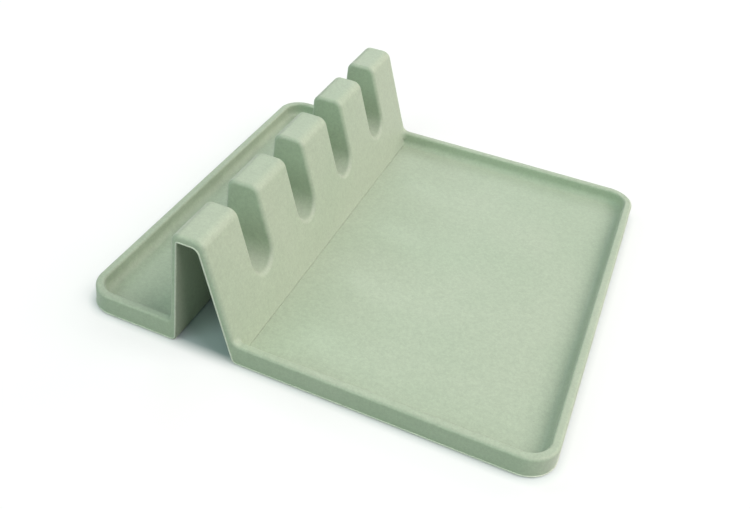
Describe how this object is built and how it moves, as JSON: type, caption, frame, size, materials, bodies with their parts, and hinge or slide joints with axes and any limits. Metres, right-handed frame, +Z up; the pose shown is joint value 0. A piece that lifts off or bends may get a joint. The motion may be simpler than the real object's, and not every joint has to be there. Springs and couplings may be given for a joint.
{
  "type": "spoon rest",
  "caption": "One-piece silicone spoon rest: rimmed drip tray, hollow ridge with U-shaped slots for utensil handles, and a narrow back tray.",
  "frame": {"origin": "centre of the footprint, on the surface that the rest stands on", "axes": "+X from the narrow back tray to the wide front tray, +Y along the ridge, +Z up"},
  "size_m": [0.164, 0.165, 0.0446],
  "materials": {
    "silicone": "matte sage green silicone"
  },
  "bodies": {
    "root": {"front_tray": "silicone", "back_tray": "silicone", "tooth_1": "silicone", "tooth_2": "silicone", "tooth_3": "silicone", "tooth_4": "silicone", "tooth_5": "silicone", "slot_trough_1": "silicone", "slot_trough_2": "silicone", "slot_trough_3": "silicone", "slot_trough_4": "silicone"}
  },
  "joints": []
}
